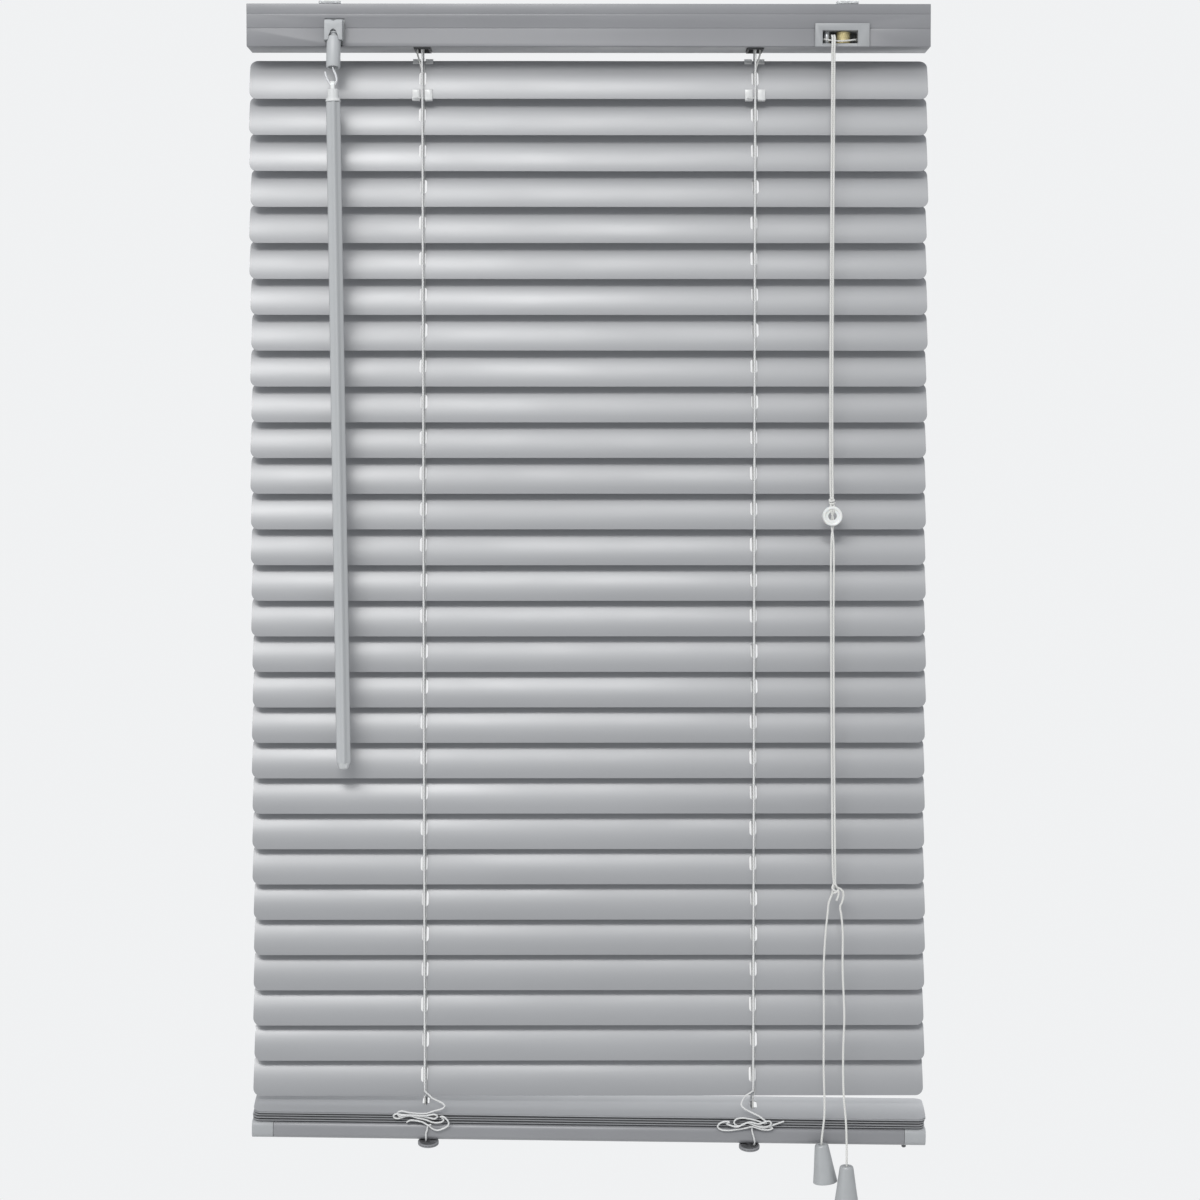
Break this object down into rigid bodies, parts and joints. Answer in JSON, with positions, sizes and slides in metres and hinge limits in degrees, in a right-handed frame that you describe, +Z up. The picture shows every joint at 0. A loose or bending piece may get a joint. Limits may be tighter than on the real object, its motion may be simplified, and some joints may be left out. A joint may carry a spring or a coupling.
{
  "type": "venetian blind",
  "caption": "Slim venetian blind with curved grey slats, headrail, tilt wand, lift cords with tassels and bottom rail, hanging lowered and closed.",
  "frame": {"origin": "centre of the headrail's back face", "axes": "+Z up, -Y towards the room, +X to the right as seen from the room"},
  "size_m": [0.4028, 0.0444, 0.7113],
  "materials": {
    "grey_paint": "satin light grey powder paint",
    "slat_paint": "satin silver-grey lacquer",
    "grey_plastic": "satin grey moulding",
    "dark_plastic": "matt dark grey moulding",
    "clear_plastic": "clear, glossy",
    "white_plastic": "white, slightly glossy",
    "white_cord": "braided polyester",
    "zinc_steel": "zinc plated",
    "bright_wire": "bright plated wire",
    "brass": "dull, knurled"
  },
  "bodies": {
    "headrail_fixed": {"headrail": "grey_paint", "mounting_bracket_left": "clear_plastic", "mounting_bracket_right": "clear_plastic", "ladder_cradle_left": "dark_plastic", "ladder_cradle_right": "dark_plastic", "tilter_housing": "grey_plastic", "cord_lock_housing": "grey_plastic"},
    "tilt_shaft": {"tilt_rod": "zinc_steel", "ladder_drum_left": "white_plastic", "ladder_drum_right": "white_plastic", "tilter_gear": "white_plastic"},
    "worm": {"tilter_worm": "grey_plastic"},
    "hook": {"wand_hook": "bright_wire"},
    "wand": {"wand_rod": "clear_plastic"},
    "lock_roller": {"cord_lock_roller": "brass"},
    "cord_pull": {"pull_cord": "white_cord", "cord_disc": "white_plastic", "cord_tassel_left": "grey_plastic", "cord_tassel_right": "grey_plastic"},
    "rail": {"bottom_rail": "grey_paint", "bottom_rail_cap_left": "grey_plastic", "bottom_rail_cap_right": "grey_plastic", "stacked_slats": "slat_paint"},
    "ladder_front": {"ladder_front_left": "white_cord", "ladder_front_right": "white_cord"},
    "ladder_back": {"ladder_back_left": "white_cord", "ladder_back_right": "white_cord"},
    "carrier_25": {"lift_cord_25": "white_cord"},
    "carrier_26": {"lift_cord_26": "white_cord"},
    "carrier_27": {"lift_cord_27": "white_cord"},
    "carrier_28": {"lift_cord_28": "white_cord"},
    "body_slat_01": {"slat_01": "slat_paint"},
    "body_slat_02": {"slat_02": "slat_paint"},
    "body_slat_03": {"slat_03": "slat_paint"},
    "body_slat_04": {"slat_04": "slat_paint"},
    "body_slat_05": {"slat_05": "slat_paint"},
    "body_slat_06": {"slat_06": "slat_paint"},
    "body_slat_07": {"slat_07": "slat_paint"},
    "body_slat_08": {"slat_08": "slat_paint"},
    "body_slat_09": {"slat_09": "slat_paint"},
    "body_slat_10": {"slat_10": "slat_paint"},
    "body_slat_11": {"slat_11": "slat_paint"},
    "body_slat_12": {"slat_12": "slat_paint"},
    "body_slat_13": {"slat_13": "slat_paint"},
    "body_slat_14": {"slat_14": "slat_paint"},
    "body_slat_15": {"slat_15": "slat_paint"},
    "body_slat_16": {"slat_16": "slat_paint"},
    "body_slat_17": {"slat_17": "slat_paint"},
    "body_slat_18": {"slat_18": "slat_paint"},
    "body_slat_19": {"slat_19": "slat_paint"},
    "body_slat_20": {"slat_20": "slat_paint"},
    "body_slat_21": {"slat_21": "slat_paint"},
    "body_slat_22": {"slat_22": "slat_paint"},
    "body_slat_23": {"slat_23": "slat_paint"},
    "body_slat_24": {"slat_24": "slat_paint"},
    "body_slat_25": {"slat_25": "slat_paint"},
    "body_slat_26": {"slat_26": "slat_paint"},
    "body_slat_27": {"slat_27": "slat_paint"},
    "body_slat_28": {"slat_28": "slat_paint"},
    "body_slat_29": {"slat_29": "slat_paint"}
  },
  "joints": [
    {"name": "tilt", "type": "hinge", "parent": "headrail_fixed", "child": "tilt_shaft", "pos_m": [0, -0.0125, -0.001], "axis": [-1, 0, 0], "range_deg": [0, 140]},
    {"name": "worm_spin", "type": "hinge", "parent": "headrail_fixed", "child": "worm", "pos_m": [-0.1498, -0.027, -0.008], "axis": [0, -0.2079, -0.9781], "range_deg": [0, 2520]},
    {"name": "wand_spin", "type": "hinge", "parent": "headrail_fixed", "child": "hook", "pos_m": [-0.1502, -0.0308, -0.0236], "axis": [0.0122, 0, -0.9999], "range_deg": [0, 2520]},
    {"name": "wand_swing", "type": "hinge", "parent": "hook", "child": "wand", "pos_m": [-0.15005, -0.0308, -0.0357], "axis": [-1, 0, 0], "range_deg": [0, 45]},
    {"name": "slat_01_tilt", "type": "hinge", "parent": "headrail_fixed", "child": "body_slat_01", "pos_m": [0, -0.0125, -0.0305], "axis": [-1, 0, 0], "range_deg": [0, 140]},
    {"name": "slat_02_tilt", "type": "hinge", "parent": "headrail_fixed", "child": "body_slat_02", "pos_m": [0, -0.0125, -0.05175], "axis": [-1, 0, 0], "range_deg": [0, 140]},
    {"name": "slat_03_tilt", "type": "hinge", "parent": "headrail_fixed", "child": "body_slat_03", "pos_m": [0, -0.0125, -0.073], "axis": [-1, 0, 0], "range_deg": [0, 140]},
    {"name": "slat_04_tilt", "type": "hinge", "parent": "headrail_fixed", "child": "body_slat_04", "pos_m": [0, -0.0125, -0.09425], "axis": [-1, 0, 0], "range_deg": [0, 140]},
    {"name": "slat_05_tilt", "type": "hinge", "parent": "headrail_fixed", "child": "body_slat_05", "pos_m": [0, -0.0125, -0.1155], "axis": [-1, 0, 0], "range_deg": [0, 140]},
    {"name": "slat_06_tilt", "type": "hinge", "parent": "headrail_fixed", "child": "body_slat_06", "pos_m": [0, -0.0125, -0.13675], "axis": [-1, 0, 0], "range_deg": [0, 140]},
    {"name": "slat_07_tilt", "type": "hinge", "parent": "headrail_fixed", "child": "body_slat_07", "pos_m": [0, -0.0125, -0.158], "axis": [-1, 0, 0], "range_deg": [0, 140]},
    {"name": "slat_08_tilt", "type": "hinge", "parent": "headrail_fixed", "child": "body_slat_08", "pos_m": [0, -0.0125, -0.17925], "axis": [-1, 0, 0], "range_deg": [0, 140]},
    {"name": "slat_09_tilt", "type": "hinge", "parent": "headrail_fixed", "child": "body_slat_09", "pos_m": [0, -0.0125, -0.2005], "axis": [-1, 0, 0], "range_deg": [0, 140]},
    {"name": "slat_10_tilt", "type": "hinge", "parent": "headrail_fixed", "child": "body_slat_10", "pos_m": [0, -0.0125, -0.22175], "axis": [-1, 0, 0], "range_deg": [0, 140]},
    {"name": "slat_11_tilt", "type": "hinge", "parent": "headrail_fixed", "child": "body_slat_11", "pos_m": [0, -0.0125, -0.243], "axis": [-1, 0, 0], "range_deg": [0, 140]},
    {"name": "slat_12_tilt", "type": "hinge", "parent": "headrail_fixed", "child": "body_slat_12", "pos_m": [0, -0.0125, -0.26425], "axis": [-1, 0, 0], "range_deg": [0, 140]},
    {"name": "slat_13_tilt", "type": "hinge", "parent": "headrail_fixed", "child": "body_slat_13", "pos_m": [0, -0.0125, -0.2855], "axis": [-1, 0, 0], "range_deg": [0, 140]},
    {"name": "slat_14_tilt", "type": "hinge", "parent": "headrail_fixed", "child": "body_slat_14", "pos_m": [0, -0.0125, -0.30675], "axis": [-1, 0, 0], "range_deg": [0, 140]},
    {"name": "slat_15_tilt", "type": "hinge", "parent": "headrail_fixed", "child": "body_slat_15", "pos_m": [0, -0.0125, -0.328], "axis": [-1, 0, 0], "range_deg": [0, 140]},
    {"name": "slat_16_tilt", "type": "hinge", "parent": "headrail_fixed", "child": "body_slat_16", "pos_m": [0, -0.0125, -0.34925], "axis": [-1, 0, 0], "range_deg": [0, 140]},
    {"name": "slat_17_tilt", "type": "hinge", "parent": "headrail_fixed", "child": "body_slat_17", "pos_m": [0, -0.0125, -0.3705], "axis": [-1, 0, 0], "range_deg": [0, 140]},
    {"name": "slat_18_tilt", "type": "hinge", "parent": "headrail_fixed", "child": "body_slat_18", "pos_m": [0, -0.0125, -0.39175], "axis": [-1, 0, 0], "range_deg": [0, 140]},
    {"name": "slat_19_tilt", "type": "hinge", "parent": "headrail_fixed", "child": "body_slat_19", "pos_m": [0, -0.0125, -0.413], "axis": [-1, 0, 0], "range_deg": [0, 140]},
    {"name": "slat_20_tilt", "type": "hinge", "parent": "headrail_fixed", "child": "body_slat_20", "pos_m": [0, -0.0125, -0.43425], "axis": [-1, 0, 0], "range_deg": [0, 140]},
    {"name": "slat_21_tilt", "type": "hinge", "parent": "headrail_fixed", "child": "body_slat_21", "pos_m": [0, -0.0125, -0.4555], "axis": [-1, 0, 0], "range_deg": [0, 140]},
    {"name": "slat_22_tilt", "type": "hinge", "parent": "headrail_fixed", "child": "body_slat_22", "pos_m": [0, -0.0125, -0.47675], "axis": [-1, 0, 0], "range_deg": [0, 140]},
    {"name": "slat_23_tilt", "type": "hinge", "parent": "headrail_fixed", "child": "body_slat_23", "pos_m": [0, -0.0125, -0.498], "axis": [-1, 0, 0], "range_deg": [0, 140]},
    {"name": "slat_24_tilt", "type": "hinge", "parent": "headrail_fixed", "child": "body_slat_24", "pos_m": [0, -0.0125, -0.51925], "axis": [-1, 0, 0], "range_deg": [0, 140]},
    {"name": "slat_25_tilt", "type": "hinge", "parent": "carrier_25", "child": "body_slat_25", "pos_m": [0, -0.0125, -0.5405], "axis": [-1, 0, 0], "range_deg": [0, 140]},
    {"name": "slat_26_tilt", "type": "hinge", "parent": "carrier_26", "child": "body_slat_26", "pos_m": [0, -0.0125, -0.56175], "axis": [-1, 0, 0], "range_deg": [0, 140]},
    {"name": "slat_27_tilt", "type": "hinge", "parent": "carrier_27", "child": "body_slat_27", "pos_m": [0, -0.0125, -0.583], "axis": [-1, 0, 0], "range_deg": [0, 140]},
    {"name": "slat_28_tilt", "type": "hinge", "parent": "carrier_28", "child": "body_slat_28", "pos_m": [0, -0.0125, -0.60425], "axis": [-1, 0, 0], "range_deg": [0, 140]},
    {"name": "slat_29_tilt", "type": "hinge", "parent": "rail", "child": "body_slat_29", "pos_m": [0, -0.0125, -0.6255], "axis": [-1, 0, 0], "range_deg": [0, 140]},
    {"name": "ladder_front_hang", "type": "hinge", "parent": "body_slat_01", "child": "ladder_front", "pos_m": [0, -0.01678, -0.04225], "axis": [-1, 0, 0], "range_deg": [-140, 0]},
    {"name": "ladder_back_hang", "type": "hinge", "parent": "body_slat_01", "child": "ladder_back", "pos_m": [0, -0.00822, -0.01875], "axis": [-1, 0, 0], "range_deg": [-140, 0]},
    {"name": "lift", "type": "slide", "parent": "headrail_fixed", "child": "rail", "axis": [0, 0, 1], "range_m": [0, 0.08375], "deforming": ["ladder_front_left", "ladder_back_left", "ladder_front_right", "ladder_back_right", "lift_cord_25", "lift_cord_26", "lift_cord_27", "lift_cord_28", "pull_cord"]},
    {"name": "gather_25", "type": "slide", "parent": "headrail_fixed", "child": "carrier_25", "axis": [0, 0, 1], "range_m": [0, 0.01675]},
    {"name": "gather_26", "type": "slide", "parent": "headrail_fixed", "child": "carrier_26", "axis": [0, 0, 1], "range_m": [0, 0.0335]},
    {"name": "gather_27", "type": "slide", "parent": "headrail_fixed", "child": "carrier_27", "axis": [0, 0, 1], "range_m": [0, 0.05025]},
    {"name": "gather_28", "type": "slide", "parent": "headrail_fixed", "child": "carrier_28", "axis": [0, 0, 1], "range_m": [0, 0.067]},
    {"name": "cord_draw", "type": "slide", "parent": "headrail_fixed", "child": "cord_pull", "axis": [0, 0, -1], "range_m": [0, 0.08375]},
    {"name": "cord_lock_release", "type": "slide", "parent": "headrail_fixed", "child": "lock_roller", "axis": [1, 0, 0], "range_m": [0, 0.0025]}
  ],
  "couplings": [
    {"joint": "worm_spin", "follows": "tilt", "ratio": 18},
    {"joint": "wand_spin", "follows": "tilt", "ratio": 18},
    {"joint": "slat_01_tilt", "follows": "tilt", "ratio": 1},
    {"joint": "slat_02_tilt", "follows": "tilt", "ratio": 1},
    {"joint": "slat_03_tilt", "follows": "tilt", "ratio": 1},
    {"joint": "slat_04_tilt", "follows": "tilt", "ratio": 1},
    {"joint": "slat_05_tilt", "follows": "tilt", "ratio": 1},
    {"joint": "slat_06_tilt", "follows": "tilt", "ratio": 1},
    {"joint": "slat_07_tilt", "follows": "tilt", "ratio": 1},
    {"joint": "slat_08_tilt", "follows": "tilt", "ratio": 1},
    {"joint": "slat_09_tilt", "follows": "tilt", "ratio": 1},
    {"joint": "slat_10_tilt", "follows": "tilt", "ratio": 1},
    {"joint": "slat_11_tilt", "follows": "tilt", "ratio": 1},
    {"joint": "slat_12_tilt", "follows": "tilt", "ratio": 1},
    {"joint": "slat_13_tilt", "follows": "tilt", "ratio": 1},
    {"joint": "slat_14_tilt", "follows": "tilt", "ratio": 1},
    {"joint": "slat_15_tilt", "follows": "tilt", "ratio": 1},
    {"joint": "slat_16_tilt", "follows": "tilt", "ratio": 1},
    {"joint": "slat_17_tilt", "follows": "tilt", "ratio": 1},
    {"joint": "slat_18_tilt", "follows": "tilt", "ratio": 1},
    {"joint": "slat_19_tilt", "follows": "tilt", "ratio": 1},
    {"joint": "slat_20_tilt", "follows": "tilt", "ratio": 1},
    {"joint": "slat_21_tilt", "follows": "tilt", "ratio": 1},
    {"joint": "slat_22_tilt", "follows": "tilt", "ratio": 1},
    {"joint": "slat_23_tilt", "follows": "tilt", "ratio": 1},
    {"joint": "slat_24_tilt", "follows": "tilt", "ratio": 1},
    {"joint": "slat_25_tilt", "follows": "tilt", "ratio": 1},
    {"joint": "slat_26_tilt", "follows": "tilt", "ratio": 1},
    {"joint": "slat_27_tilt", "follows": "tilt", "ratio": 1},
    {"joint": "slat_28_tilt", "follows": "tilt", "ratio": 1},
    {"joint": "slat_29_tilt", "follows": "tilt", "ratio": 1},
    {"joint": "ladder_front_hang", "follows": "tilt", "ratio": -1},
    {"joint": "ladder_back_hang", "follows": "tilt", "ratio": -1},
    {"joint": "gather_25", "follows": "lift", "ratio": 0.2},
    {"joint": "gather_26", "follows": "lift", "ratio": 0.4},
    {"joint": "gather_27", "follows": "lift", "ratio": 0.6},
    {"joint": "gather_28", "follows": "lift", "ratio": 0.8},
    {"joint": "cord_draw", "follows": "lift", "ratio": 1}
  ]
}
